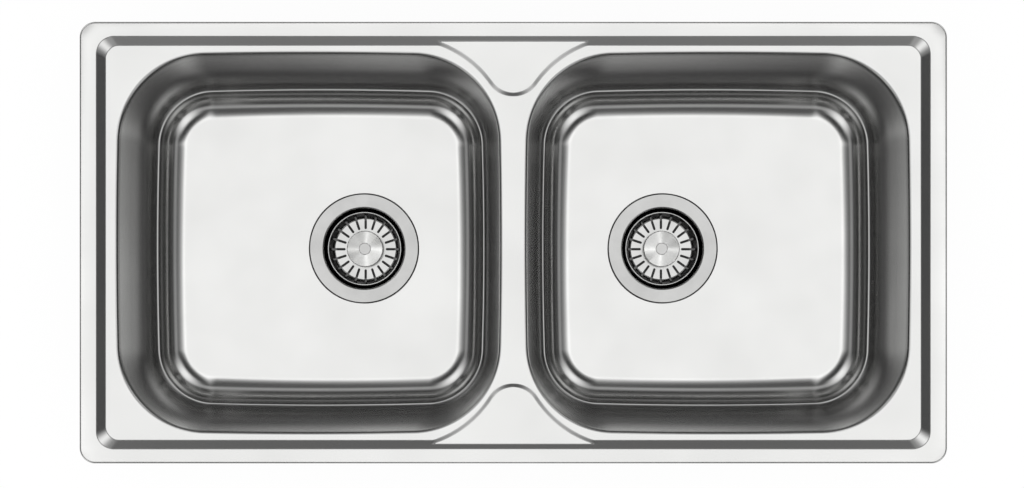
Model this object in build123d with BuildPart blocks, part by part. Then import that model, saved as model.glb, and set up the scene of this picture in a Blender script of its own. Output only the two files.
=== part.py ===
"""Double bowl inset kitchen sink in pressed stainless steel, with two basket strainer wastes.

The sink drops into a worktop cut-out and its rim rests on the worktop.  Z = 0 is the worktop's
top face, X runs left to right, Y runs from the front to the back, and the origin is the middle
of the sink.  The bowls and wastes hang below the worktop.  All sizes are in millimetres.
"""

import os
from math import atan, atan2, degrees, sqrt, tan

from build123d import *

RUN_FIT = 0.05  # radial gap between a shaft or screw and its hole
TOUCH_GAP = 0.1  # gap between two flat faces that slide or turn on each other

# --- Pressed top --------------------------------------------------------------------------
SHEET = 0.8  # thickness of the stainless sheet
SINK_LENGTH = 860.0
SINK_WIDTH = 438.0
SINK_CORNER = 15.5
RIM_HEIGHT = 6.0  # top of the rim above the worktop
RIM_BEND = 2.0
RIM_LAND_X = 16.5  # flat rim at the left and right ends
RIM_LAND_Y = 14.4  # flat rim along the front and back
BAND_RUN = 8.5  # slope from the rim down to the field round the bowls
BAND_DROP = 7.0
BAND_TOP_CORNER = 17.5
BAND_FOOT_CORNER = 13.5

# --- Raised ledges between the bowls --------------------------------------------------------
LEDGE_RISE = 2.9
LEDGE_RUN = 3.2  # width of the step round a ledge
LEDGE_ARC = 107.0  # radius of a ledge's hollow sides, round the bowls' corners
LEDGE_NOSE = 27.0
BACK_LEDGE_SHIFT = (9.6, -4.5)  # centre of a hollow side from the centre of the bowl's corner
FRONT_LEDGE_SHIFT = (12.8, -5.5)

# --- Bowls ----------------------------------------------------------------------------------
BRIDGE = 25.8  # between the two bowls' mouths
MOUTH_END = 36.3  # from the sink's end to the bowl's mouth
MOUTH_EDGE = 30.4  # from the sink's front or back to the bowl's mouth
MOUTH_CORNER = 87.0
MOUTH_BEND = 2.5  # radius from the field into the wall
MOUTH_FLANGE = 2.4  # flat strip round the mouth, welded into the top
SIDE_BOW = 3.6  # how far each side of a bowl curves outwards
SHELF_DEPTH = 125.0  # rim top to the shelf that ends the sloping wall
SHELF_INSET_X = 16.2  # how far the wall slopes in on its way to the shelf
SHELF_INSET_Y = 20.1
SHELF_WIDTH = 3.0
SHELF_CORNER = 60.0
BOWL_DEPTH = 150.0  # rim top to bowl floor
PAN_LEAN = 6.6  # how far the pan's side slopes in below the shelf, before its round bottom
BOTTOM_RADIUS = 32.0
DRAIN_SHIFT = 43.7  # drain centre from the bowl centre, towards the other bowl
PAD_INSET_X = 62.4  # sound-deadening pad under each floor, in from the mouth's ends
PAD_INSET_Y = 66.6
PAD_CORNER = 25.0
PAD_THICKNESS = 2.0
PAD_MARGIN = 5.0  # pad's hole round the waste seat

# --- Waste fitted in each bowl floor ------------------------------------------------------------
FLANGE_RADIUS = 57.5
FLANGE_MARGIN = 1.2  # seat round the flange
DISH_SHEET = 1.0
DISH_SEAL = 1.0  # rubber between the flange and its seat
CUP_RADIUS = 43.0  # inside the dish
CUP_DEPTH = 27.0
CUP_CORNER = 8.0
CUP_LIP = 2.0
HOLE_CLEARANCE = 1.0  # cup in the hole of the bowl floor
WELL_RADIUS = 10.0  # recess for the screw head in the cup's floor
WELL_DEPTH = 6.0
OUTLET_SLOTS = 6
OUTLET_SLOT_RADIUS = 20.0
OUTLET_SLOT_WIDTH = 10.0
OUTLET_SLOT_ARC = 38.0  # degrees between the centres of a slot's ends
BODY_SEAL = 3.0
BODY_SEAL_INNER = 46.0
BODY_SEAL_OUTER = 55.0
BODY_FLANGE = 56.0
BODY_FLANGE_THICKNESS = 4.0
CHAMBER_RADIUS = 47.5  # inside the plastic body
BODY_WALL = 3.0
CHAMBER_DEPTH = 27.0  # straight part of the body below its flange face
FUNNEL_DEPTH = 22.0
NECK_RADIUS = 23.9  # G 1 1/2 thread, outside
NECK_BORE = 20.0
NECK_LENGTH = 30.0
BOSS_RADIUS = 9.0
BOSS_LENGTH = 30.0
BODY_RIBS = 4
RIB_THICKNESS = 3.0
RIB_DROP = 4.0  # ribs start this far below the boss's top
RIB_HEIGHT = 18.0

# --- Screw that pulls dish and body together ------------------------------------------------------
SCREW_HEAD_RADIUS = 7.0
SCREW_HEAD = 3.0
BARREL_RADIUS = 5.0  # hollow upper part that takes the basket's stem
BARREL_END = 2.6  # metal left under the stem's bore
SHANK_RADIUS = 3.0
SHANK_LENGTH = 12.0
STEM_ROOM = 2.0  # bore left free under the stem
INSERT_RADIUS = 4.5

# --- Strainer basket ----------------------------------------------------------------------------
BASKET_RIM_RADIUS = 39.8
BASKET_RIM_DROP = 7.0  # basket rim below the flange
BASKET_LIP = 1.0  # radius of the rolled rim
BASKET_FLOOR_RADIUS = 34.0
BASKET_SHEET = 0.8
BASKET_CORNER = 3.0
BASKET_SLOTS = 20
SLOT_INNER = 21.7
SLOT_OUTER = 36.3
SLOT_WIDTH = 2.6
PLUG_RADIUS = 31.0  # rubber disc that closes the outlet slots
PLUG_THICKNESS = 2.0
PLUG_GAP = 0.3  # left under the disc when the basket is pushed down
STEM_RADIUS = 3.0
STEM_LENGTH = 26.0
KNOB_RADIUS = 19.35
KNOB_THICKNESS = 3.0
KNOB_HEIGHT = 11.0  # above the basket's floor
KNOB_NECK = 6.5
KNOB_EDGE = 0.8
RIVET_RADIUS = 6.4
RIVET_HEAD = 0.9
RIVET_SHANK = 2.0

# --- Rim seal, rails and clips --------------------------------------------------------------------
SEAL_WIDTH = 7.0
SEAL_INSET = 1.2  # foam seal inside the rim's turned edge
RAIL_SHEET = 1.0
RAIL_INSET = 81.4  # rail's end in from the mouth's end
RAIL_TOP_FLANGE = 5.0
RAIL_FOOT_FLANGE = 12.0
RAIL_DEPTH = 18.0
RAIL_BEND = 1.5
CLIP_PITCH = 130.0  # two clips on each rail
CLIP_OFFSET = 6.2  # screw axis outside the rail's web
WORKTOP_MAX = 40.0  # thickest worktop that the clips reach round
NUT_SIZE = 10.0
NUT_HEIGHT = 5.0
SCREW_IN_NUT = 4.0  # thread engaged with the clip slack
CLIP_SCREW_RADIUS = 3.0
CLIP_HEAD = 4.0
CLIP_HEAD_FLATS = 10.0
DRIVER_SLOT = 1.4
WASHER_RADIUS = 6.2
WASHER_THICKNESS = 1.2
JAW_SHEET = 2.0
JAW_WIDTH = 12.0
JAW_TAIL = 7.0
JAW_FOOT = 9.0  # flat part from the screw axis to the bend
JAW_REACH = 30.0
JAW_TOE = 8.0
JAW_RISE = 9.0
JAW_BEND = 2.5

# --- Levels and places that follow from the sizes above -----------------------------------------------
FIELD_Z = RIM_HEIGHT - BAND_DROP
LEDGE_Z = FIELD_Z + LEDGE_RISE
SHELF_Z = RIM_HEIGHT - SHELF_DEPTH
FLOOR_Z = RIM_HEIGHT - BOWL_DEPTH
BAND_FOOT_Y = SINK_WIDTH / 2 - RIM_LAND_Y - BAND_RUN
MOUTH_LENGTH = (SINK_LENGTH - BRIDGE) / 2 - MOUTH_END
MOUTH_WIDTH = SINK_WIDTH - 2 * MOUTH_EDGE
PAD_LENGTH = MOUTH_LENGTH - 2 * PAD_INSET_X
PAD_WIDTH = MOUTH_WIDTH - 2 * PAD_INSET_Y
RAIL_LENGTH = MOUTH_LENGTH - 2 * RAIL_INSET
BOWL_CENTRE = (BRIDGE + MOUTH_LENGTH) / 2
WALL_SLOPE_X = SHELF_INSET_X / (FIELD_Z - SHELF_Z)
WALL_SLOPE_Y = SHELF_INSET_Y / (FIELD_Z - SHELF_Z)
DRAIN_X = BOWL_CENTRE - DRAIN_SHIFT
SEAT_DEPTH = DISH_SHEET + DISH_SEAL
SEAT_RADIUS = FLANGE_RADIUS + FLANGE_MARGIN
HOLE_RADIUS = CUP_RADIUS + DISH_SHEET + HOLE_CLEARANCE
CUP_Z = FLOOR_Z - CUP_DEPTH
WELL_Z = CUP_Z - WELL_DEPTH
BODY_Z = FLOOR_Z - SEAT_DEPTH - SHEET - BODY_SEAL
BOSS_Z = WELL_Z - DISH_SHEET
FUNNEL_Z = BODY_Z - CHAMBER_DEPTH
NECK_Z = FUNNEL_Z - FUNNEL_DEPTH
SCREW_TOP_Z = WELL_Z + SCREW_HEAD
BASKET_RIM_Z = FLOOR_Z - BASKET_RIM_DROP
PLUG_Z = CUP_Z + PLUG_GAP
BASKET_FLOOR_Z = PLUG_Z + PLUG_THICKNESS + BASKET_SHEET
KNOB_Z = BASKET_FLOOR_Z + KNOB_HEIGHT
RIVET_Z = BASKET_FLOOR_Z + KNOB_HEIGHT / 2
STEM_Z = RIVET_Z - STEM_LENGTH
BORE_Z = STEM_Z - STEM_ROOM
BARREL_Z = BORE_Z - BARREL_END
SHANK_Z = BARREL_Z - SHANK_LENGTH
RAIL_TOP_Z = FIELD_Z - SHEET
RAIL_FOOT_Z = RAIL_TOP_Z - RAIL_DEPTH
NUT_Z = RAIL_FOOT_Z + RAIL_SHEET
CLIP_TIP_Z = NUT_Z + SCREW_IN_NUT
JAW_Z = -WORKTOP_MAX - JAW_RISE - JAW_SHEET
WASHER_Z = JAW_Z - TOUCH_GAP - WASHER_THICKNESS
CLIP_HEAD_Z = WASHER_Z - TOUCH_GAP
CLIP_Y = BAND_FOOT_Y + CLIP_OFFSET

SIDES = {"left": -1, "right": 1}
ENDS = {"front": -1, "back": 1}

os.makedirs("parts", exist_ok=True)


def keep(piece, name):
    """Labels a finished piece and writes it out."""
    piece.part.label = name
    export_step(piece.part, f"parts/{name}.step")


def level(z, x=0.0, y=0.0):
    """Horizontal plane at height z, with its origin at x, y."""
    return Plane(origin=(x, y, z))


# --- Pressed top ----------------------------------------------------------------------------------


def bowl_outline(side, z, inset_x, inset_y, corner):
    """Plan of a bowl at height z: four bowed sides, moved in by the insets, with round corners."""
    half_x = MOUTH_LENGTH / 2 - inset_x
    half_y = MOUTH_WIDTH / 2 - inset_y
    end_x = half_x - SIDE_BOW
    end_y = half_y - SIDE_BOW
    with BuildSketch(level(z, side * BOWL_CENTRE)) as plan:
        with BuildLine():
            ThreePointArc((-end_x, -end_y), (0, -half_y), (end_x, -end_y))
            ThreePointArc((end_x, -end_y), (half_x, 0), (end_x, end_y))
            ThreePointArc((end_x, end_y), (0, half_y), (-end_x, end_y))
            ThreePointArc((-end_x, end_y), (-half_x, 0), (-end_x, -end_y))
        make_face()
        fillet(plan.vertices(), corner)
    return plan.sketch


def basin_outline(z, run, corner):
    """Rounded rectangle inside the flat rim, a distance run down the sloping band."""
    length = SINK_LENGTH - 2 * (RIM_LAND_X + run)
    width = SINK_WIDTH - 2 * (RIM_LAND_Y + run)
    with BuildSketch(level(z)) as plan:
        RectangleRounded(length, width, corner)
    return plan.sketch


def ledge_outline(end, z, inset):
    """Plan of a ledge between the bowls: two hollow arcs that meet in a round nose."""
    shift_x, shift_y = BACK_LEDGE_SHIFT if end > 0 else FRONT_LEDGE_SHIFT
    centre_x = BRIDGE / 2 + MOUTH_CORNER + shift_x
    centre_y = MOUTH_WIDTH / 2 - MOUTH_CORNER + shift_y
    nose_y = centre_y + sqrt((LEDGE_ARC + LEDGE_NOSE) ** 2 - centre_x**2)
    lean = degrees(atan2(nose_y - centre_y, centre_x))
    hollow = LEDGE_ARC + inset
    back_y = (SINK_WIDTH - RIM_LAND_Y) / 2
    with BuildSketch(Plane(origin=(0, 0, z), x_dir=(end, 0, 0))) as plan:
        with BuildLine():
            CenterArc((-centre_x, centre_y), hollow, lean, 90 - lean)
            CenterArc((0, nose_y), LEDGE_NOSE - inset, 180 + lean, 180 - 2 * lean)
            CenterArc((centre_x, centre_y), hollow, 90, 90 - lean)
            Polyline(
                (centre_x, centre_y + hollow),
                (centre_x, back_y),
                (-centre_x, back_y),
                (-centre_x, centre_y + hollow),
            )
        make_face()
    return plan.sketch


def below_skin(drop):
    """Solid that fills the top from the worktop up to a skin parallel to the sheet, drop under it."""
    band_spread = drop * tan(atan(BAND_DROP / BAND_RUN) / 2)
    step_spread = drop * tan(atan(LEDGE_RISE / LEDGE_RUN) / 2)
    with BuildPart() as block:
        with BuildSketch(Plane.XY):
            RectangleRounded(SINK_LENGTH - 2 * drop, SINK_WIDTH - 2 * drop, SINK_CORNER - drop)
        extrude(amount=RIM_HEIGHT - drop)
        fillet(block.faces().sort_by(Axis.Z)[-1].edges(), RIM_BEND - drop)
        foot = basin_outline(FIELD_Z - drop, BAND_RUN - band_spread, BAND_FOOT_CORNER)
        brim = basin_outline(RIM_HEIGHT - drop, -band_spread, BAND_TOP_CORNER)
        loft([foot, brim], mode=Mode.SUBTRACT)
        for end in ENDS.values():
            step_foot = ledge_outline(end, FIELD_Z - drop, step_spread - LEDGE_RUN / 2)
            step_top = ledge_outline(end, LEDGE_Z - drop, step_spread + LEDGE_RUN / 2)
            loft([step_foot, step_top])
    return block.part


def mouth_weld(side):
    """Outline where a bowl's flange is butt-welded into the top."""
    corner = MOUTH_CORNER + MOUTH_FLANGE
    return bowl_outline(side, FIELD_Z, -MOUTH_FLANGE, -MOUTH_FLANGE, corner)


def make_top():
    """Rim, sloping band, field and ledges pressed in one sheet, open over the two bowls."""
    with BuildPart() as sink_top:
        add(below_skin(0))
        add(below_skin(SHEET), mode=Mode.SUBTRACT)
        for side in SIDES.values():
            extrude(mouth_weld(side), amount=RIM_HEIGHT, both=True, mode=Mode.SUBTRACT)
    keep(sink_top, "sink_top")


def make_rim_seal():
    """Foam strip that seals the rim to the worktop."""
    inset = SHEET + SEAL_INSET
    with BuildPart() as rim_seal:
        with BuildSketch(Plane.XY):
            RectangleRounded(SINK_LENGTH - 2 * inset, SINK_WIDTH - 2 * inset, SINK_CORNER - inset)
            offset(amount=-SEAL_WIDTH, mode=Mode.SUBTRACT)
        extrude(amount=RIM_HEIGHT - SHEET)
    keep(rim_seal, "rim_seal")


# --- Bowls ------------------------------------------------------------------------------------------


def wall_plan(side, z, grow):
    """Plan of the sloping wall at height z, its face moved outwards by grow."""
    depth = FIELD_Z - z
    inset_x = WALL_SLOPE_X * depth - grow
    inset_y = WALL_SLOPE_Y * depth - grow
    corner = MOUTH_CORNER + (SHELF_CORNER - MOUTH_CORNER) * depth / (FIELD_Z - SHELF_Z)
    return bowl_outline(side, z, inset_x, inset_y, corner + grow)


def pan_plan(side, z, inset):
    """Plan of the pan at height z, moved in from the foot of the sloping wall."""
    return bowl_outline(side, z, SHELF_INSET_X + inset, SHELF_INSET_Y + inset, SHELF_CORNER - inset)


def bowl_block(side, grow):
    """Solid that fills a bowl, its face moved outwards by grow: 0 inside, SHEET outside."""
    inset = SHELF_WIDTH - grow
    with BuildPart() as block:
        loft([wall_plan(side, SHELF_Z - grow, grow), wall_plan(side, FIELD_Z, grow)])
        loft([pan_plan(side, SHELF_Z, inset), pan_plan(side, FLOOR_Z - grow, inset + PAN_LEAN)])
        fillet(block.faces().sort_by(Axis.Z)[0].edges(), BOTTOM_RADIUS + grow)
        with BuildSketch(level(FLOOR_Z - grow, side * DRAIN_X)):
            Circle(SEAT_RADIUS + grow)
        extrude(amount=-SEAT_DEPTH)
    return block.part


def make_bowl(side, name):
    """Drawn bowl with a flange round its mouth and a stamped seat for the waste."""
    with BuildPart() as bowl:
        extrude(mouth_weld(side), amount=-SHEET)
        add(bowl_block(side, SHEET))
        under = bowl.faces().filter_by(Plane.XY).filter_by(lambda f: f.normal_at().Z < 0)
        under = under.sort_by(Axis.Z)[-1]
        fillet(under.inner_wires().edges(), MOUTH_BEND - SHEET)
        add(bowl_block(side, 0), mode=Mode.SUBTRACT)
        brim = bowl.faces().filter_by(Plane.XY).sort_by(Axis.Z)[-1]
        fillet(brim.inner_wires().edges(), MOUTH_BEND)
        with BuildSketch(level(FLOOR_Z, side * DRAIN_X)):
            Circle(HOLE_RADIUS)
        extrude(amount=-SEAT_DEPTH - SHEET, mode=Mode.SUBTRACT)
    keep(bowl, name)


def make_sound_pad(side, name):
    """Bitumen pad bonded under a bowl floor, cut out round the waste seat."""
    with BuildPart() as sound_pad:
        with BuildSketch(level(FLOOR_Z - SHEET, side * BOWL_CENTRE)):
            RectangleRounded(PAD_LENGTH, PAD_WIDTH, PAD_CORNER)
            with Locations((-side * DRAIN_SHIFT, 0)):
                Circle(SEAT_RADIUS + SHEET + PAD_MARGIN, mode=Mode.SUBTRACT)
        extrude(amount=-PAD_THICKNESS)
    keep(sound_pad, name)


# --- Wastes -------------------------------------------------------------------------------------------


def upright(x, y=0.0, x_dir=(1, 0, 0)):
    """Vertical plane through x, y: sketch x runs along x_dir and sketch y is the height."""
    return Plane(origin=(x, y, 0), x_dir=x_dir, z_dir=Vector(x_dir).cross(Vector(0, 0, 1)))


def disc(seat, radius, height, bore=0.0):
    """Round plate that stands on the plane seat, with a hole where a bore is given."""
    with BuildPart() as plate:
        with BuildSketch(seat):
            Circle(radius)
            if bore:
                Circle(bore, mode=Mode.SUBTRACT)
        extrude(amount=height)
    return plate


def make_dish(x, name):
    """Pressed dish of the strainer: flange, cup, outlet slots and a well for the screw head."""
    with BuildPart() as inside:
        with BuildSketch(level(FLOOR_Z, x)):
            Circle(CUP_RADIUS)
        extrude(amount=-CUP_DEPTH)
        fillet(inside.faces().sort_by(Axis.Z)[0].edges(), CUP_CORNER)
        with BuildSketch(level(CUP_Z, x)):
            Circle(WELL_RADIUS)
        extrude(amount=-WELL_DEPTH)
    with BuildPart() as dish:
        with BuildSketch(level(FLOOR_Z, x)):
            Circle(CUP_RADIUS + DISH_SHEET)
        extrude(amount=-CUP_DEPTH - DISH_SHEET)
        fillet(dish.faces().sort_by(Axis.Z)[0].edges(), CUP_CORNER + DISH_SHEET)
        with BuildSketch(level(CUP_Z - DISH_SHEET, x)):
            Circle(WELL_RADIUS + DISH_SHEET)
        extrude(amount=-WELL_DEPTH)
        with BuildSketch(level(FLOOR_Z, x)):
            Circle(FLANGE_RADIUS)
        extrude(amount=-DISH_SHEET)
        add(inside.part, mode=Mode.SUBTRACT)
        brim = dish.faces().filter_by(Plane.XY).sort_by(Axis.Z)[-1]
        fillet(brim.inner_wires().edges(), CUP_LIP)
        with BuildSketch(level(CUP_Z, x)):
            centre_line = CenterArc((0, 0), OUTLET_SLOT_RADIUS, 0, OUTLET_SLOT_ARC)
            with PolarLocations(0, OUTLET_SLOTS):
                SlotArc(centre_line, OUTLET_SLOT_WIDTH)
        extrude(amount=-DISH_SHEET, mode=Mode.SUBTRACT)
        with BuildSketch(level(WELL_Z, x)):
            Circle(BARREL_RADIUS + RUN_FIT)
        extrude(amount=-DISH_SHEET, mode=Mode.SUBTRACT)
    keep(dish, name)


def make_waterway(x):
    """Hollow of the waste body: chamber, funnel and neck round a ribbed boss with its bores."""
    rib_length = CHAMBER_RADIUS + BODY_WALL
    with BuildPart() as waterway:
        with BuildSketch(upright(x)):
            with BuildLine():
                Polyline(
                    (0, BODY_Z),
                    (CHAMBER_RADIUS, BODY_Z),
                    (CHAMBER_RADIUS, FUNNEL_Z),
                    (NECK_BORE, NECK_Z),
                    (NECK_BORE, NECK_Z - NECK_LENGTH),
                    (0, NECK_Z - NECK_LENGTH),
                    close=True,
                )
            make_face()
        revolve(axis=Axis((x, 0, 0), (0, 0, 1)))
        with BuildSketch(level(BOSS_Z, x)):
            Circle(BOSS_RADIUS)
        extrude(amount=-BOSS_LENGTH, mode=Mode.SUBTRACT)
        with BuildSketch(level(BOSS_Z - RIB_DROP, x)):
            with PolarLocations(rib_length / 2, BODY_RIBS, start_angle=45):
                Rectangle(rib_length, RIB_THICKNESS)
        extrude(amount=-RIB_HEIGHT, mode=Mode.SUBTRACT)
        with BuildSketch(level(BARREL_Z, x)):
            Circle(BARREL_RADIUS + RUN_FIT)
        extrude(amount=BOSS_Z - BARREL_Z)
        with BuildSketch(level(SHANK_Z, x)):
            Circle(INSERT_RADIUS + RUN_FIT)
        extrude(amount=SHANK_LENGTH)
    return waterway.part


def make_body(x, name):
    """Moulded body under the bowl: flange, chamber, funnel and threaded neck."""
    outer = CHAMBER_RADIUS + BODY_WALL
    with BuildPart() as body:
        with BuildSketch(upright(x)):
            with BuildLine():
                Polyline(
                    (0, BODY_Z),
                    (BODY_FLANGE, BODY_Z),
                    (BODY_FLANGE, BODY_Z - BODY_FLANGE_THICKNESS),
                    (outer, BODY_Z - BODY_FLANGE_THICKNESS),
                    (outer, FUNNEL_Z),
                    (NECK_RADIUS, NECK_Z),
                    (NECK_RADIUS, NECK_Z - NECK_LENGTH),
                    (0, NECK_Z - NECK_LENGTH),
                    close=True,
                )
            make_face()
        revolve(axis=Axis((x, 0, 0), (0, 0, 1)))
        add(make_waterway(x), mode=Mode.SUBTRACT)
    keep(body, name)


def make_fixing_screw(x, name):
    """Screw from the dish's well into the body's boss, hollow at the top for the basket's stem."""
    with BuildPart() as screw:
        with BuildSketch(level(WELL_Z, x)):
            Circle(SCREW_HEAD_RADIUS)
        extrude(amount=SCREW_HEAD)
        with BuildSketch(level(BARREL_Z, x)):
            Circle(BARREL_RADIUS)
        extrude(amount=WELL_Z - BARREL_Z)
        with BuildSketch(level(SHANK_Z, x)):
            Circle(SHANK_RADIUS)
        extrude(amount=SHANK_LENGTH)
        with BuildSketch(level(BORE_Z, x)):
            Circle(STEM_RADIUS + RUN_FIT)
        extrude(amount=SCREW_TOP_Z - BORE_Z, mode=Mode.SUBTRACT)
        chamfer(screw.faces().sort_by(Axis.Z)[-1].outer_wire().edges(), SCREW_HEAD / 4)
    keep(screw, name)


# --- Strainer basket ------------------------------------------------------------------------------------


def make_basket(x, name):
    """Pressed basket: rolled rim, sloping wall and a floor with slots that run up into the wall."""
    under_z = BASKET_FLOOR_Z - BASKET_SHEET
    rim_inner = BASKET_RIM_RADIUS - 2 * BASKET_LIP
    with BuildPart() as basket:
        with BuildSketch(upright(x)):
            with BuildLine():
                inner = FilletPolyline(
                    (STEM_RADIUS + RUN_FIT, BASKET_FLOOR_Z),
                    (BASKET_FLOOR_RADIUS, BASKET_FLOOR_Z),
                    (rim_inner + BASKET_SHEET, BASKET_RIM_Z - BASKET_LIP),
                    radius=BASKET_CORNER,
                )
                outer = FilletPolyline(
                    (STEM_RADIUS + RUN_FIT, under_z),
                    (BASKET_FLOOR_RADIUS + BASKET_SHEET, under_z),
                    (rim_inner + 2 * BASKET_SHEET, BASKET_RIM_Z - BASKET_LIP),
                    radius=BASKET_CORNER + BASKET_SHEET,
                )
                Line(inner @ 0, outer @ 0)
                Line(inner @ 1, outer @ 1)
            make_face()
            with Locations((BASKET_RIM_RADIUS - BASKET_LIP, BASKET_RIM_Z - BASKET_LIP)):
                Circle(BASKET_LIP)
        revolve(axis=Axis((x, 0, 0), (0, 0, 1)))
        with BuildSketch(level(under_z, x)):
            with PolarLocations((SLOT_INNER + SLOT_OUTER) / 2, BASKET_SLOTS):
                SlotOverall(SLOT_OUTER - SLOT_INNER, SLOT_WIDTH)
        extrude(amount=BASKET_RIM_DROP + CUP_DEPTH, mode=Mode.SUBTRACT)
    keep(basket, name)


def make_stem(x, name):
    """Pin under the basket that slides in the hollow screw."""
    stem = disc(level(STEM_Z, x), STEM_RADIUS, STEM_LENGTH)
    with stem:
        chamfer(stem.faces().sort_by(Axis.Z)[0].edges(), STEM_RADIUS / 3)
    keep(stem, name)


def make_knob(x, name):
    """Turned knob that lifts the basket: a flat cap on a neck, bored for stem and rivet."""
    with BuildPart() as knob:
        with BuildSketch(level(BASKET_FLOOR_Z, x)):
            Circle(KNOB_NECK)
        extrude(amount=KNOB_HEIGHT)
        with BuildSketch(level(KNOB_Z, x)):
            Circle(KNOB_RADIUS)
        extrude(amount=-KNOB_THICKNESS)
        fillet(knob.faces().sort_by(Axis.Z)[-1].edges(), KNOB_EDGE)
        with BuildSketch(level(BASKET_FLOOR_Z, x)):
            Circle(STEM_RADIUS + RUN_FIT)
        extrude(amount=KNOB_HEIGHT / 2, mode=Mode.SUBTRACT)
        with BuildSketch(level(KNOB_Z, x)):
            Circle(RIVET_SHANK + RUN_FIT)
        extrude(amount=-KNOB_HEIGHT / 2, mode=Mode.SUBTRACT)
    keep(knob, name)


def make_rivet(x, name):
    """Rivet through the knob's cap, with a low domed head."""
    with BuildPart() as rivet:
        with BuildSketch(level(RIVET_Z, x)):
            Circle(RIVET_SHANK)
        extrude(amount=KNOB_Z - RIVET_Z)
        with BuildSketch(level(KNOB_Z, x)):
            Circle(RIVET_RADIUS)
        extrude(amount=RIVET_HEAD)
        fillet(rivet.faces().sort_by(Axis.Z)[-1].edges(), RIVET_HEAD * 2 / 3)
    keep(rivet, name)


# --- Rails and clips --------------------------------------------------------------------------------------


def clip_places():
    """Names and places of the clips along the front and back, from left to right."""
    offsets = [side * BOWL_CENTRE + half * CLIP_PITCH / 2 for side in (-1, 1) for half in (-1, 1)]
    return [
        (f"{end_name}_{number}", x, end)
        for end_name, end in ENDS.items()
        for number, x in enumerate(offsets, start=1)
    ]


def make_rail(side, end, name):
    """Bent rail welded under the field beside a bowl, with a hole for each clip's screw."""
    with BuildPart() as rail:
        with BuildSketch(upright(side * BOWL_CENTRE, end * BAND_FOOT_Y, (0, end, 0))):
            with BuildLine():
                FilletPolyline(
                    (-RAIL_TOP_FLANGE, RAIL_TOP_Z - RAIL_SHEET / 2),
                    (-RAIL_SHEET / 2, RAIL_TOP_Z - RAIL_SHEET / 2),
                    (-RAIL_SHEET / 2, RAIL_FOOT_Z + RAIL_SHEET / 2),
                    (RAIL_FOOT_FLANGE, RAIL_FOOT_Z + RAIL_SHEET / 2),
                    radius=RAIL_BEND,
                )
            trace(line_width=RAIL_SHEET)
        extrude(amount=RAIL_LENGTH / 2, both=True)
        with BuildSketch(level(RAIL_FOOT_Z, side * BOWL_CENTRE, end * CLIP_Y)):
            with GridLocations(CLIP_PITCH, 1, 2, 1):
                Circle(CLIP_SCREW_RADIUS + 2 * TOUCH_GAP)
        extrude(amount=RAIL_SHEET, mode=Mode.SUBTRACT)
    keep(rail, name)


def make_nuts():
    """Square nuts welded in the rails, one for each clip."""
    places = [(x, end * CLIP_Y) for _, x, end in clip_places()]
    with BuildPart() as nuts:
        with BuildSketch(level(NUT_Z)):
            with Locations(*places):
                Rectangle(NUT_SIZE, NUT_SIZE)
                Circle(CLIP_SCREW_RADIUS + RUN_FIT, mode=Mode.SUBTRACT)
        extrude(amount=NUT_HEIGHT)
    keep(nuts, "clip_nuts")


def make_clip_screw(x, y, name):
    """Hexagon screw with a driver slot; it hangs head down from the rail's nut."""
    with BuildPart() as screw:
        with BuildSketch(level(CLIP_HEAD_Z, x, y)):
            RegularPolygon(CLIP_HEAD_FLATS / 2, 6, major_radius=False)
        extrude(amount=-CLIP_HEAD)
        with BuildSketch(level(CLIP_HEAD_Z - CLIP_HEAD, x, y)):
            Rectangle(2 * CLIP_HEAD_FLATS, DRIVER_SLOT)
        extrude(amount=CLIP_HEAD / 2, mode=Mode.SUBTRACT)
        with BuildSketch(level(CLIP_HEAD_Z, x, y)):
            Circle(CLIP_SCREW_RADIUS)
        extrude(amount=CLIP_TIP_Z - CLIP_HEAD_Z)
        chamfer(screw.faces().sort_by(Axis.Z)[-1].edges(), CLIP_SCREW_RADIUS / 3)
    keep(screw, name)


def make_jaw(x, y, end, name):
    """Bent steel jaw that turns on the screw and grips the worktop from below."""
    mid = JAW_Z + JAW_SHEET / 2
    with BuildPart() as jaw:
        with BuildSketch(upright(x, y, (end, 0, 0))):
            with BuildLine():
                FilletPolyline(
                    (-JAW_TAIL, mid),
                    (JAW_FOOT, mid),
                    (JAW_REACH - JAW_TOE, mid + JAW_RISE),
                    (JAW_REACH, mid + JAW_RISE),
                    radius=JAW_BEND,
                )
            trace(line_width=JAW_SHEET)
        extrude(amount=JAW_WIDTH / 2, both=True)
        tail = jaw.edges().filter_by(Axis.Z).group_by(lambda e: end * e.center().X)[0]
        fillet(tail, JAW_WIDTH / 3)
        with BuildSketch(level(JAW_Z, x, y)):
            Circle(CLIP_SCREW_RADIUS + RUN_FIT)
        extrude(amount=JAW_SHEET, mode=Mode.SUBTRACT)
    keep(jaw, name)


# --- The whole sink ---------------------------------------------------------------------------------------

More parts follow.
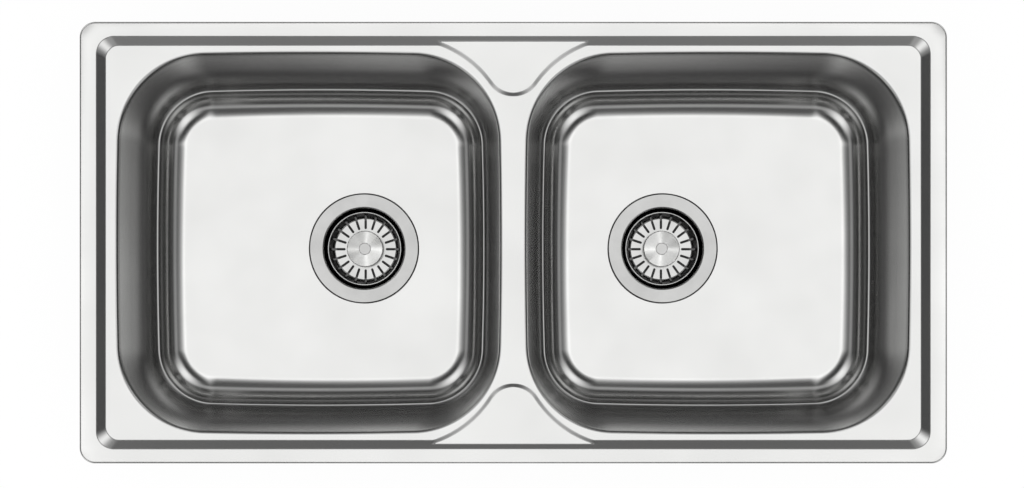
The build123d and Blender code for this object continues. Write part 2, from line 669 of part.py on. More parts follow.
make_top()
make_rim_seal()
for side_name, side in SIDES.items():
    drain_x = side * DRAIN_X
    dish_seat = level(FLOOR_Z - SEAT_DEPTH, drain_x)
    body_seat = level(BODY_Z, drain_x)
    insert_seat = level(SHANK_Z, drain_x)
    plug_seat = level(PLUG_Z, drain_x)
    make_bowl(side, f"bowl_{side_name}")
    make_sound_pad(side, f"sound_pad_{side_name}")
    make_dish(drain_x, f"strainer_dish_{side_name}")
    make_body(drain_x, f"waste_body_{side_name}")
    make_fixing_screw(drain_x, f"fixing_screw_{side_name}")
    dish_seal = disc(dish_seat, FLANGE_RADIUS, DISH_SEAL, HOLE_RADIUS)
    keep(dish_seal, f"dish_seal_{side_name}")
    body_seal = disc(body_seat, BODY_SEAL_OUTER, BODY_SEAL, BODY_SEAL_INNER)
    keep(body_seal, f"body_seal_{side_name}")
    insert = disc(insert_seat, INSERT_RADIUS, SHANK_LENGTH, SHANK_RADIUS + RUN_FIT)
    keep(insert, f"threaded_insert_{side_name}")
    make_basket(drain_x, f"basket_{side_name}")
    plug = disc(plug_seat, PLUG_RADIUS, PLUG_THICKNESS, STEM_RADIUS + RUN_FIT)
    keep(plug, f"basket_seal_{side_name}")
    make_stem(drain_x, f"basket_stem_{side_name}")
    make_knob(drain_x, f"basket_knob_{side_name}")
    make_rivet(drain_x, f"basket_rivet_{side_name}")
    for end_name, end in ENDS.items():
        make_rail(side, end, f"rail_{end_name}_{side_name}")
make_nuts()
for clip_name, x, end in clip_places():
    y = end * CLIP_Y
    make_clip_screw(x, y, f"clip_screw_{clip_name}")
    washer_seat = level(WASHER_Z, x, y)
    washer = disc(washer_seat, WASHER_RADIUS, WASHER_THICKNESS, CLIP_SCREW_RADIUS + RUN_FIT)
    keep(washer, f"clip_washer_{clip_name}")
    make_jaw(x, y, end, f"clip_jaw_{clip_name}")
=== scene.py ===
"""Looks of a double bowl inset kitchen sink in pressed stainless steel, with basket strainers.

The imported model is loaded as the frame. The pressed top and the two drawn bowls are made here as
dense sheet meshes with rounded creases, in the place of the CAD nodes, and a bead of rubber lies
round each strainer. Every other node keeps its shape and gets its finish. Lengths of the sink are
in millimetres until a mesh is made, and those of the studio in metres, which are Blender's units.
"""

from __future__ import annotations

import logging
import math
import sys
from collections.abc import Iterable, Sequence
from dataclasses import dataclass, field
from enum import Enum

import bpy
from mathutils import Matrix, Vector
from mathutils.geometry import delaunay_2d_cdt

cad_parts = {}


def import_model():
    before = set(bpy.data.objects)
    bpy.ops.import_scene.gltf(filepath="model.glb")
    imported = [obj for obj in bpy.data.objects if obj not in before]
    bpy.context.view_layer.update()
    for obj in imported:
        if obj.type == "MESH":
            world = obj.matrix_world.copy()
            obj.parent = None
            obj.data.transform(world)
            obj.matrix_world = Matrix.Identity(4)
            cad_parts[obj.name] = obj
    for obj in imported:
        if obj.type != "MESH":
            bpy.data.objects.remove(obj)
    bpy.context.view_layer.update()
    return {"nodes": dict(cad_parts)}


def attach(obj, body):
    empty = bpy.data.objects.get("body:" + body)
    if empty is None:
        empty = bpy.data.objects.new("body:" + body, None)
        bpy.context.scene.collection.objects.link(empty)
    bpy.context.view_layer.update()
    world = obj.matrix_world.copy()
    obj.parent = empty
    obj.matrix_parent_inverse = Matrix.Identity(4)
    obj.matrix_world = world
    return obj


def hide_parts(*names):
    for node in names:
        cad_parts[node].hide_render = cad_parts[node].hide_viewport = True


LOG = logging.getLogger("sink")
MM = 0.001
PHOTO_WIDTH = 1024
QUARTER = math.pi / 2
NOISE_MIDDLE = (0.3, 0.7)  # Most of a noise texture lies between these.
POLYMER_IOR = 1.49
SHEET_EDGE = math.radians(35)  # Sharper edges of a sheet aren't smoothed.
SAME_POINT = 1e-4  # Points of a plan nearer than this, in millimetres, are one.
CHAMFER = 0.3  # Middle of a quarter round, as a share of its radius from both its faces.

Point = tuple[float, float]
Loop = list[tuple[float, float, float]]
Ring = tuple[Point, float, float]
Tree = bpy.types.NodeTree
Socket = bpy.types.NodeSocket


class Side(Enum):
    """A bowl's side of the sink."""

    LEFT = -1
    RIGHT = 1

    @property
    def label(self) -> str:
        """The side's name in lower case."""
        return self.name.lower()


class End(Enum):
    """A long edge of the sink."""

    FRONT = -1
    BACK = 1

    @property
    def label(self) -> str:
        """The edge's name in lower case."""
        return self.name.lower()


# --- Nodes and colours ------------------------------------------------------------------------


def linear(colour: str) -> tuple[float, float, float, float]:
    """Turns an sRGB hex colour to linear.

    Args:
        colour: Six hex digits after a hash.

    Returns:
        Red, green, blue and an alpha of 1.
    """
    parts = [int(colour[i : i + 2], 16) / 255 for i in (1, 3, 5)]
    r, g, b = (c / 12.92 if c <= 0.04045 else ((c + 0.055) / 1.055) ** 2.4 for c in parts)
    return r, g, b, 1.0


def set_stops(ramp: bpy.types.ColorRamp, stops: Sequence[Point]) -> None:
    """Gives a ramp its levels of grey, with straight lines between them.

    Args:
        ramp: The ramp, as new.
        stops: Place, 0 to 1, and level of each stop, in order.
    """
    while len(ramp.elements) < len(stops):
        ramp.elements.new(0.5)
    for element, (place, level) in zip(ramp.elements, stops):
        element.position = place
        element.color = (level,) * 3 + (1.0,)


def add_node(
    tree: Tree, kind: str, settings: dict | None = None, links: dict | None = None
) -> bpy.types.Node:
    """Adds a node with its settings and links.

    Args:
        tree: The node tree.
        kind: The node's type, such as ShaderNodeMath.
        settings: Values by property name, input name or input number, and the stops of a ramp.
        links: Output sockets by input name or number.

    Returns:
        The new node.
    """
    node = tree.nodes.new(kind)
    for key, value in (settings or {}).items():
        if key == "stops":
            set_stops(node.color_ramp, value)
        elif isinstance(key, int) or key in node.inputs:
            node.inputs[key].default_value = value
        else:
            setattr(node, key, value)
    for key, source in (links or {}).items():
        tree.links.new(source, node.inputs[key])
    return node


def per_mm(size: float) -> float:
    """Scale of a pattern whose features are that many millimetres apart."""
    return 1 / (size * MM)


# --- Finishes ---------------------------------------------------------------------------------


class Grain(Enum):
    """The way in which a metal's surface was worked."""

    LENGTHWISE = "brushed along the sheet"
    DRAWN = "drawn in a die, without a direction"
    TURNED = "turned on a lathe"


@dataclass(frozen=True)
class Finish:
    """A real material with the marks of how it was made.

    Attributes:
        name: Material and process.
        colour: Its colour in sRGB hex.
        roughness: Mean roughness.
        tone: Its second colour in sRGB hex, for the patches.
        spread: Change in roughness across the surface, both ways.
        patch_mm: Size of its uneven patches.
    """

    name: str
    colour: str
    roughness: float
    tone: str
    spread: float = 0.05
    patch_mm: float = 60.0

    def new_tree(self) -> tuple[bpy.types.Material, Tree]:
        """Starts a node material with nothing in it.

        Returns:
            The material and its tree.
        """
        material = bpy.data.materials.new(self.name)
        material.use_nodes = True
        material.node_tree.nodes.clear()
        return material, material.node_tree

    def pattern(self, tree: Tree, scale: Sequence[float], detail: float) -> Socket:
        """Noise on the object's own coordinates.

        Args:
            tree: The node tree.
            scale: Features to the metre along X, Y and Z.
            detail: Octaves.

        Returns:
            The noise's value.
        """
        place = add_node(tree, "ShaderNodeTexCoord")
        stretch = add_node(
            tree, "ShaderNodeMapping", {"Scale": scale}, {"Vector": place.outputs["Object"]}
        )
        noise = add_node(
            tree,
            "ShaderNodeTexNoise",
            {"Scale": 1.0, "Detail": detail},
            {"Vector": stretch.outputs[0]},
        )
        return noise.outputs[0]

    def patches(self, tree: Tree) -> Socket:
        """Noise of the uneven patches."""
        return self.pattern(tree, (per_mm(self.patch_mm),) * 3, detail=2.0)

    def ranged(self, tree: Tree, value: Socket, low: float, high: float) -> Socket:
        """Maps the middle of a noise's range to low and high.

        Args:
            tree: The node tree.
            value: The noise.
            low: Result at the middle's lower end.
            high: Result at its upper end.

        Returns:
            The mapped value.
        """
        first, last = NOISE_MIDDLE
        mapped = add_node(
            tree,
            "ShaderNodeMapRange",
            {"From Min": first, "From Max": last, "To Min": low, "To Max": high},
            {"Value": value},
        )
        return mapped.outputs[0]

    def rough(self, tree: Tree, value: Socket) -> Socket:
        """Roughness that follows a noise."""
        return self.ranged(tree, value, self.roughness - self.spread, self.roughness + self.spread)

    def tinted(self, tree: Tree, value: Socket) -> Socket:
        """Mixes the two colours by a noise.

        Args:
            tree: The node tree.
            value: The noise.

        Returns:
            The colour.
        """
        mix = add_node(
            tree,
            "ShaderNodeMix",
            {"data_type": "RGBA", 6: linear(self.colour), 7: linear(self.tone)},
            {0: self.ranged(tree, value, 0.0, 1.0)},
        )
        return mix.outputs[2]

    def close(
        self, tree: Tree, settings: dict, links: dict, height: Socket, depth_mm: float
    ) -> None:
        """Ends the tree with a bump, a Principled shader and the output.

        Args:
            tree: The node tree.
            settings: The shader's uniform values.
            links: The shader's linked inputs.
            height: Height of the surface, 0 to 1.
            depth_mm: Depth of the bump.
        """
        bump = add_node(
            tree,
            "ShaderNodeBump",
            {"Strength": 1.0, "Distance": depth_mm * MM},
            {"Height": height},
        )
        shader = add_node(
            tree, "ShaderNodeBsdfPrincipled", settings, {**links, "Normal": bump.outputs[0]}
        )
        add_node(tree, "ShaderNodeOutputMaterial", None, {"Surface": shader.outputs[0]})


@dataclass(frozen=True)
class Metal(Finish):
    """A bare or plated metal.

    Attributes:
        grain: How the surface was worked.
        line_mm: Distance between its fine marks.
        length_mm: Length of a mark.
        depth_mm: Depth of the marks.
        anisotropy: How far reflections stretch across the marks.
        turn: Share of a full turn from the tangent to the way in which they stretch.
    """

    grain: Grain = Grain.DRAWN
    line_mm: float = 1.2
    length_mm: float = 60.0
    depth_mm: float = 0.002
    anisotropy: float = 0.0
    turn: float = 0.0

    def marks(self, tree: Tree) -> Socket:
        """Fine marks of the process.

        Args:
            tree: The node tree.

        Returns:
            Their height.
        """
        along = self.length_mm if self.grain is Grain.LENGTHWISE else self.line_mm
        scale = (per_mm(along), per_mm(self.line_mm), per_mm(self.line_mm))
        return self.pattern(tree, scale, detail=3.0)

    def shaded(self, tree: Tree, colour: Socket) -> Socket:
        """Colour as it is all over the piece."""
        return colour

    def relief(self, tree: Tree, marks: Socket) -> Socket:
        """Height of the surface: here the marks alone."""
        return marks

    def build(self) -> bpy.types.Material:
        """Makes the metal.

        Returns:
            The material.
        """
        material, tree = self.new_tree()
        patches = self.patches(tree)
        marks = self.marks(tree)
        both = add_node(tree, "ShaderNodeMath", {"operation": "ADD"}, {0: patches, 1: marks})
        half = add_node(
            tree, "ShaderNodeMath", {"operation": "MULTIPLY", 1: 0.5}, {0: both.outputs[0]}
        )
        links = {
            "Base Color": self.shaded(tree, self.tinted(tree, patches)),
            "Roughness": self.rough(tree, half.outputs[0]),
        }
        if self.grain is Grain.TURNED:
            tangent = add_node(tree, "ShaderNodeTangent", {"direction_type": "RADIAL", "axis": "Z"})
            links["Tangent"] = tangent.outputs[0]
        settings = {
            "Metallic": 1.0,
            "Anisotropic": self.anisotropy,
            "Anisotropic Rotation": self.turn,
        }
        self.close(tree, settings, links, self.relief(tree, marks), self.depth_mm)
        return material


@dataclass(frozen=True)
class TurnedMetal(Metal):
    """Bar turned on a lathe about its Z axis, with rings on a face that is slightly coned.

    Attributes:
        across_mm: Diameter of the piece.
        cone: Slope of its face.
    """

    across_mm: float = 40.0
    cone: float = 0.0

    def radius(self, tree: Tree) -> Socket:
        """Distance from the axis, as a share of the diameter.

        Args:
            tree: The node tree.

        Returns:
            The distance.
        """
        place = add_node(tree, "ShaderNodeTexCoord")
        flat = add_node(
            tree,
            "ShaderNodeVectorMath",
            {"operation": "MULTIPLY_ADD", 1: (1.0, 1.0, 0.0), 2: (-0.5, -0.5, 0.0)},
            {0: place.outputs["Generated"]},
        )
        length = add_node(
            tree, "ShaderNodeVectorMath", {"operation": "LENGTH"}, {0: flat.outputs[0]}
        )
        return length.outputs["Value"]

    def marks(self, tree: Tree) -> Socket:
        """Fine rings of the tool.

        Args:
            tree: The node tree.

        Returns:
            Their height.
        """
        scale = self.across_mm / self.line_mm
        rings = add_node(
            tree,
            "ShaderNodeTexNoise",
            {"noise_dimensions": "1D", "Scale": scale, "Detail": 2.0},
            {"W": self.radius(tree)},
        )
        return rings.outputs[0]

    def relief(self, tree: Tree, marks: Socket) -> Socket:
        """Height of the rings on the coned face.

        Args:
            tree: The node tree.
            marks: Height of the rings.

        Returns:
            The height, in depths of a ring.
        """
        fall = -self.cone * self.across_mm / self.depth_mm
        face = add_node(
            tree,
            "ShaderNodeMath",
            {"operation": "MULTIPLY_ADD", 1: fall},
            {0: self.radius(tree), 2: marks},
        )
        return face.outputs[0]


@dataclass(frozen=True)
class PaintedShadeMetal(Metal):
    """Sheet drawn in a die, with painted shade that darkens its wall by height.

    Attributes:
        wall: Height in millimetres and share of the floor's colour left by the painted shade at
            each stop of the wall, from below.
    """

    wall: tuple[tuple[float, float], ...] = ()

    def shaded(self, tree: Tree, colour: Socket) -> Socket:
        """Paints shade onto the wall by height.

        Args:
            tree: The node tree.
            colour: Colour of the floor.

        Returns:
            The colour by height.
        """
        place = add_node(tree, "ShaderNodeTexCoord")
        height = add_node(
            tree, "ShaderNodeSeparateXYZ", None, {0: place.outputs["Object"]}
        ).outputs["Z"]
        low, high = self.wall[0][0], self.wall[-1][0]
        share = add_node(
            tree,
            "ShaderNodeMapRange",
            {"From Min": low * MM, "From Max": high * MM},
            {"Value": height},
        )
        # Painted shade: each stop darkens the colour at its height.
        stops = [((z - low) / (high - low), level) for z, level in self.wall]
        ramp = add_node(tree, "ShaderNodeValToRGB", {"stops": stops}, {0: share.outputs[0]})
        mix = add_node(
            tree,
            "ShaderNodeMix",
            {"data_type": "RGBA", "blend_type": "MULTIPLY", 0: 1.0},
            {6: colour, 7: ramp.outputs[0]},
        )
        return mix.outputs[2]


@dataclass(frozen=True)
class Polymer(Finish):
    """A moulded plastic, rubber, foam or bitumen.

    Attributes:
        speck_mm: Size of its surface texture.
        depth_mm: Depth of the texture.
    """

    speck_mm: float = 0.8
    depth_mm: float = 0.02

    def build(self) -> bpy.types.Material:
        """Makes the polymer.

        Returns:
            The material.
        """
        material, tree = self.new_tree()
        specks = self.pattern(tree, (per_mm(self.speck_mm),) * 3, detail=4.0)
        colour = self.tinted(tree, self.patches(tree))
        links = {"Base Color": colour, "Roughness": self.rough(tree, specks)}
        self.close(tree, {"IOR": POLYMER_IOR}, links, specks, self.depth_mm)
        return material


@dataclass(frozen=True)
class Galvanised(Finish):
    """Steel sheet with a frosted zinc coat.

    Attributes:
        spangle_mm: Size of a zinc crystal.
        depth_mm: Difference in height between crystals.
    """

    spangle_mm: float = 6.0
    depth_mm: float = 0.01

    def build(self) -> bpy.types.Material:
        """Makes the coated sheet.

        Returns:
            The material.
        """
        material, tree = self.new_tree()
        place = add_node(tree, "ShaderNodeTexCoord")
        cells = add_node(
            tree,
            "ShaderNodeTexVoronoi",
            {"Scale": per_mm(self.spangle_mm)},
            {"Vector": place.outputs["Object"]},
        )
        level = add_node(
            tree, "ShaderNodeSeparateColor", None, {"Color": cells.outputs["Color"]}
        ).outputs[0]
        links = {"Base Color": self.tinted(tree, level), "Roughness": self.rough(tree, level)}
        self.close(tree, {"Metallic": 1.0}, links, level, self.depth_mm)
        return material


class Finishes:
    """The sink's materials, made once and shared."""

    # Brush lines, grit and turned rings are really 0.05 to 0.2 mm apart: line_mm draws them as
    # coarse as they need to show.
    SPECS: dict[str, Finish] = {
        # Cold-rolled 304 sheet, pressed and satin-brushed lengthwise: bright, with a long sheen.
        "top": Metal(
            "stainless_304_brushed_sheet", "#BDBDBC", 0.18, "#B8B8B7", spread=0.02, patch_mm=90.0,
            grain=Grain.LENGTHWISE, line_mm=1.2, length_mm=90.0, depth_mm=0.0006, anisotropy=0.2,
        ),
        # 304 sheet after deep drawing and satin polish: the same tone, with no direction left.
        "bowl": PaintedShadeMetal(
            "stainless_304_deep_drawn", "#BDBDBC", 0.16, "#B8B8B7", spread=0.02, patch_mm=70.0,
            line_mm=2.5, depth_mm=0.0004,
            # Painted shade by height: dark at the shelf's crease and over the wall, lighter near
            # the lip.
            wall=(
                (-128.0, 1.0), (-119.0, 0.55), (-95.0, 1.0),
                (-78.0, 0.45), (-40.0, 0.42), (0.0, 0.72),
            ),
        ),
        # 304 blanks pressed and tumbled: a little duller and darker than the bowl round them.
        "strainer": Metal(
            "stainless_304_pressed_tumbled", "#A4A4A3", 0.2, "#9C9C9B", spread=0.03, patch_mm=25.0,
            line_mm=1.5,
        ),
        # The same sheet drawn into the waste's dish: a tumbled flange round a cup darkened with
        # painted shade.
        "dish": PaintedShadeMetal(
            "stainless_304_drawn_dish", "#A6A6A5", 0.2, "#9E9E9D", spread=0.03, patch_mm=25.0,
            line_mm=1.5, depth_mm=0.0015, wall=((-152.0, 0.2), (-146.0, 1.0)),
        ),
        # The same sheet drawn into a basket: its floor is polished, its wall is darkened with
        # painted shade.
        "basket": PaintedShadeMetal(
            "stainless_304_drawn_basket", "#B4B4B3", 0.2, "#ACACAB", spread=0.03, patch_mm=20.0,
            line_mm=1.5, depth_mm=0.0015,
            wall=((-167.0, 1.0), (-165.6, 0.15), (-152.6, 0.15), (-151.6, 1.0)),
        ),
        # 303 bar turned on a lathe: fine rings that pull reflections into fans.
        "turned": TurnedMetal(
            "stainless_303_turned", "#E2E2E1", 0.26, "#DADAD8", spread=0.02, patch_mm=12.0,
            grain=Grain.TURNED, line_mm=0.35, depth_mm=0.001, anisotropy=0.95, turn=0.25,
            across_mm=38.7, cone=0.21,
        ),
        # CZ121 brass, turned: yellow and bright.
        "brass": Metal(
            "brass_turned", "#D9B46A", 0.3, "#C79F55", patch_mm=8.0, line_mm=0.6, depth_mm=0.004
        ),
        # Mild steel with bright zinc plate: a cool tone, slightly cloudy.
        "zinc": Metal(
            "mild_steel_zinc_plated", "#C3C7CB", 0.32, "#A9ADAF", spread=0.08, patch_mm=9.0,
            line_mm=0.8, depth_mm=0.006,
        ),
        # Hot-dip galvanised strip: dull grey crystals.
        "rail": Galvanised("steel_hot_dip_galvanised", "#AEB2B4", 0.42, "#95999B", spread=0.08),
        # Moulded EPDM: black with a dry bloom.
        "rubber": Polymer(
            "epdm_rubber_moulded", "#161616", 0.62, "#1F1F1E", spread=0.06, patch_mm=15.0,
            speck_mm=0.7,
        ),
        # Closed-cell polyethylene foam: dark grey with small cells.
        "foam": Polymer(
            "polyethylene_foam_strip", "#33363A", 0.85, "#3D4044", patch_mm=12.0, speck_mm=0.9,
            depth_mm=0.15,
        ),
        # Bitumen pad rolled on: black-grey with a coarse skin.
        "pad": Polymer(
            "bitumen_pad_rolled", "#3A3A3B", 0.75, "#474747", spread=0.08, patch_mm=30.0,
            speck_mm=2.5, depth_mm=0.25,
        ),
        # Injection-moulded polypropylene: off-white and slightly waxy.
        "plastic": Polymer(
            "polypropylene_moulded", "#DCDCD8", 0.45, "#D2D2CC", patch_mm=40.0, speck_mm=0.6,
            depth_mm=0.01,
        ),
    }

    def __init__(self) -> None:
        """Makes every material."""
        self.made = {key: spec.build() for key, spec in self.SPECS.items()}

    def dress(self, piece: bpy.types.Object, key: str) -> None:
        """Gives a piece one finish all over.

        Args:
            piece: The object.
            key: The finish's key in SPECS.
        """
        piece.data.materials.clear()
        piece.data.materials.append(self.made[key])
        LOG.info("%s: %s", piece.name, self.made[key].name)


# --- Plan curves ------------------------------------------------------------------------------


def arc_points(centre: Point, radius: float, start: float, sweep: float, steps: int) -> list[Point]:
    """Points on an arc, both ends included.

    Args:
        centre: Its centre.
        radius: Its radius.
        start: First angle in radians.
        sweep: Angle turned, anticlockwise where positive.
        steps: Number of chords.

    Returns:
        The points in order.
    """
    angles = [start + sweep * i / steps for i in range(steps + 1)]
    return [(centre[0] + radius * math.cos(a), centre[1] + radius * math.sin(a)) for a in angles]


def rounded_rectangle(half_x: float, half_y: float, corner: float, steps: int) -> list[Point]:
    """Rounded rectangle about the origin.

    Args:
        half_x: Half its length.
        half_y: Half its width.
        corner: Corner radius.
        steps: Chords in each corner.

    Returns:
        Its points, anticlockwise, open.
    """
    x, y = half_x - corner, half_y - corner
    points: list[Point] = []
    for turn, centre in enumerate([(x, y), (-x, y), (-x, -y), (x, -y)]):
        points += arc_points(centre, corner, turn * QUARTER, QUARTER, steps)
    return points


@dataclass
class BowedSquare:
    """Plan of a bowl: four sides that bow outwards, with round corners.

    Attributes:
        half_x: Half its length.
        half_y: Half its width.
        bow: How far a side's middle stands out.
        corner: Corner radius.
        side_steps: Chords in half a side.
        corner_steps: Chords in a corner.
    """

    half_x: float
    half_y: float
    bow: float
    corner: float
    side_steps: int = 10
    corner_steps: int = 28

    def points(self, centre_x: float) -> list[Point]:
        """Points round the plan.

        Args:
            centre_x: Place of its centre along X.

        Returns:
            Its points, anticlockwise, open, always the same number.
        """
        chord_x, chord_y = self.half_x - self.bow, self.half_y - self.bow
        big_x = (chord_x**2 + self.bow**2) / (2 * self.bow)
        big_y = (chord_y**2 + self.bow**2) / (2 * self.bow)
        low = Vector((0, self.half_y - big_x))
        side = Vector((self.half_x - big_y, 0))
        gap = side - low
        # The corner is tangent to both sides where its centre is this far from theirs.
        reach_low, reach_side = big_x - self.corner, big_y - self.corner
        along = (reach_low**2 - reach_side**2 + gap.length_squared) / (2 * gap.length)
        across = math.sqrt(reach_low**2 - along**2)
        unit = gap.normalized()
        normal = Vector((-unit.y, unit.x))
        centre = max(
            (low + unit * along + normal * across * s for s in (-1, 1)), key=lambda p: p.x + p.y
        )
        start_side = math.atan2(centre.y - side.y, centre.x - side.x)
        start_low = math.atan2(centre.y - low.y, centre.x - low.x)
        quarter = arc_points(tuple(side), big_y, 0, start_side, self.side_steps)[:-1]
        turn = start_low - start_side
        quarter += arc_points(tuple(centre), self.corner, start_side, turn, self.corner_steps)[:-1]
        quarter += arc_points(tuple(low), big_x, start_low, QUARTER - start_low, self.side_steps)
        ring = quarter + [(-x, y) for x, y in reversed(quarter[:-1])]
        ring += [(x, -y) for x, y in reversed(ring[1:-1])]
        return [(centre_x + x, y) for x, y in ring]


# --- Meshes -----------------------------------------------------------------------------------


def new_piece(
    name: str, points: Iterable[Sequence[float]], faces: Iterable[Sequence[int]]
) -> bpy.types.Object:
    """Makes a smooth mesh object in the frame.

    Args:
        name: The piece's name.
        points: Vertices in millimetres.
        faces: Vertex numbers of each face.

    Returns:
        The object.
    """
    mesh = bpy.data.meshes.new(name)
    mesh.from_pydata([(x * MM, y * MM, z * MM) for x, y, z in points], [], list(faces))
    mesh.validate()
    mesh.polygons.foreach_set("use_smooth", [True] * len(mesh.polygons))
    piece = bpy.data.objects.new(name, mesh)
    bpy.context.scene.collection.objects.link(piece)
    return piece


def thicken(piece: bpy.types.Object, thickness: float) -> None:
    """Gives an open skin the thickness of its sheet, behind its face.

    Args:
        piece: The skin.
        thickness: Thickness in millimetres.
    """
    sheet = piece.modifiers.new("sheet", "SOLIDIFY")
    sheet.thickness = thickness * MM
    sheet.offset = -1.0
    sheet.use_even_offset = True
    split = piece.modifiers.new("edges", "EDGE_SPLIT")
    split.split_angle = SHEET_EDGE


def ring_faces(rings: int, count: int) -> list[tuple[int, int, int, int]]:
    """Quads between neighbouring closed rings.

    Args:
        rings: Number of rings.
        count: Points in each ring.

    Returns:
        The quads' vertex numbers.
    """
    faces = []
    for ring in range(rings - 1):
        for i in range(count):
            j = (i + 1) % count
            a, b = ring * count, (ring + 1) * count
            faces.append((a + i, a + j, b + j, b + i))
    return faces


# --- Drawn bowls ------------------------------------------------------------------------------


@dataclass
class DrawnBowl:
    """A bowl drawn from the sheet, from the flange round its mouth to the seat of its waste.

    Attributes:
        side: Its side of the sink.
        sheet: Thickness of its sheet.
        field_z: Height of the flange's face.
        shelf_z: Height of the shelf.
        floor_z: Height of the floor.
        centre: Distance of its middle from the sink's.
        mouth: Half its length and width at the mouth.
        mouth_corner: Corner radius of the mouth.
        mouth_bend: Radius of the bend from the flange to the wall.
        flange: Width of the flange.
        bow: How far the middle of each side stands out.
        shelf_inset: How far the wall's foot is inside the mouth, along X and Y.
        shelf_width: Width of the shelf.
        shelf_corner: Corner radius of the wall's foot.
        crease: Radius of the bend from the wall to the shelf.
        pan_lean: How far the pan's side leans in, over its depth.
        bottom_radius: Radius of the bend from the pan's side to the floor.
        brow: Radius of the bend from the shelf to the pan's side.
        drain_shift: How far the waste is from the bowl's middle, towards the sink's.
        seat_radius: Radius of the waste's seat.
        seat_depth: Depth of the seat.
        hole_radius: Radius of the hole in the seat.
        seat_crease: Size of the seat's rounded edge.
        margin: Flat ring round the seat, and inside the floor's bend.
        bend_steps: Chords in the mouth's bend.
        wall_steps: Rings down the wall.
        crease_steps: Chords in the crease and in the brow.
        pan_steps: Chords in the bend to the floor.
    """

    side: Side
    sheet: float = 0.8
    field_z: float = -1.0
    shelf_z: float = -119.0
    floor_z: float = -144.0
    centre: float = 203.3
    mouth: tuple[float, float] = (190.4, 188.6)
    mouth_corner: float = 87.0
    mouth_bend: float = 2.5
    flange: float = 2.4
    bow: float = 3.6
    shelf_inset: tuple[float, float] = (16.2, 20.1)
    shelf_width: float = 3.0
    shelf_corner: float = 60.0
    crease: float = 2.1
    pan_lean: float = 6.6
    bottom_radius: float = 32.0
    brow: float = 1.0
    drain_shift: float = 43.7
    seat_radius: float = 58.7
    seat_depth: float = 2.0
    hole_radius: float = 45.0
    seat_crease: float = 0.5
    margin: float = 1.0
    bend_steps: int = 7
    wall_steps: int = 16
    crease_steps: int = 4
    pan_steps: int = 20

    @property
    def drain_x(self) -> float:
        """Place of the waste along X."""
        return self.side.value * (self.centre - self.drain_shift)

    def plan(self, inset: Point, corner: float) -> list[Point]:
        """Plan of the bowl, moved in from its mouth.

        Args:
            inset: Distance moved in along X and Y.
            corner: Corner radius there.

        Returns:
            The plan's points.
        """
        shape = BowedSquare(self.mouth[0] - inset[0], self.mouth[1] - inset[1], self.bow, corner)
        return shape.points(self.side.value * self.centre)

    def weld_line(self) -> list[Point]:
        """Outer edge of the flange, where the bowl is welded into the top."""
        return self.plan((-self.flange, -self.flange), self.mouth_corner + self.flange)

    def wall(self) -> list[Ring]:
        """Profile of the flange, the mouth's bend and the sloping wall.

        Returns:
            Inset, corner radius and height of each ring.
        """
        rings = [((-self.flange, -self.flange), self.mouth_corner + self.flange, self.field_z)]
        depth = self.field_z - self.shelf_z
        # The sides lean less than the ends, so the bend turns further there.
        slopes = [math.atan(inset / depth) for inset in self.shelf_inset]
        turns = [QUARTER - slope for slope in slopes]
        sets = [self.mouth_bend * math.tan(turn / 2) for turn in turns]
        for i in range(self.bend_steps + 1):
            share = i / self.bend_steps
            inset = tuple(
                -back + self.mouth_bend * math.sin(turn * share) for back, turn in zip(sets, turns)
            )
            drop = self.mouth_bend * (1 - math.cos(sum(turns) / 2 * share))
            corner = self.mouth_corner - sum(inset) / 2
            rings.append((inset, corner, self.field_z - drop))
        start = self.field_z - rings[-1][2]
        for i in range(1, self.wall_steps + 1):
            down = start + (depth - self.crease - start) * i / self.wall_steps
            share = down / depth
            inset = tuple(full * share for full in self.shelf_inset)
            corner = self.mouth_corner + (self.shelf_corner - self.mouth_corner) * share
            rings.append((inset, corner, self.field_z - down))
        return rings

    def pan(self) -> list[Ring]:
        """Profile of the shelf and of the pan under it, down to the flat floor.

        Returns:
            Inset, corner radius and height of each ring.
        """
        rings = []
        for i in range(1, self.crease_steps + 1):
            angle = QUARTER * i / self.crease_steps
            move = self.crease * (1 - math.cos(angle))
            drop = self.crease * math.sin(angle)
            rings.append((move, self.shelf_z + self.crease - drop))
        # The brow and the floor's bend are tangent to the pan's leaning side.
        lean = math.atan(self.pan_lean / (self.shelf_z - self.floor_z))
        turn = QUARTER - lean
        edge = self.shelf_width - self.brow * math.tan(turn / 2)
        for i in range(self.crease_steps + 1):
            angle = turn * i / self.crease_steps
            move = edge + self.brow * math.sin(angle)
            rings.append((move, self.shelf_z - self.brow * (1 - math.cos(angle))))
        middle = self.shelf_width + self.pan_lean + self.bottom_radius * math.tan(turn / 2)
        for i in range(self.pan_steps + 1):
            angle = lean + turn * i / self.pan_steps
            move = middle - self.bottom_radius * math.cos(angle)
            rings.append((move, self.floor_z + self.bottom_radius * (1 - math.sin(angle))))
        rings.append((middle + self.margin, self.floor_z))
        corner = self.shelf_corner
        return [
            ((self.shelf_inset[0] + move, self.shelf_inset[1] + move), corner - move, z)
            for move, z in rings
        ]

    def seat(self, like: list[Point]) -> list[Loop]:
        """Round rings of the waste's stamped seat, from outside to the hole's edge.

        Args:
            like: The floor's edge, whose points the rings face.

        Returns:
            The rings.
        """
        edge = self.seat_radius + self.seat_crease
        chamfer = self.seat_crease * CHAMFER
        profile = [
            (edge + self.margin, 0.0),
            (edge, 0.0),
            (self.seat_radius + chamfer, -chamfer),
            (self.seat_radius, -self.seat_crease),
            (self.seat_radius, -self.seat_depth),
            (self.hole_radius, -self.seat_depth),
        ]
        x = self.drain_x
        angles = [math.atan2(py, px - x) for px, py in like]
        return [
            [(x + r * math.cos(a), r * math.sin(a), self.floor_z + drop) for a in angles]
            for r, drop in profile
        ]

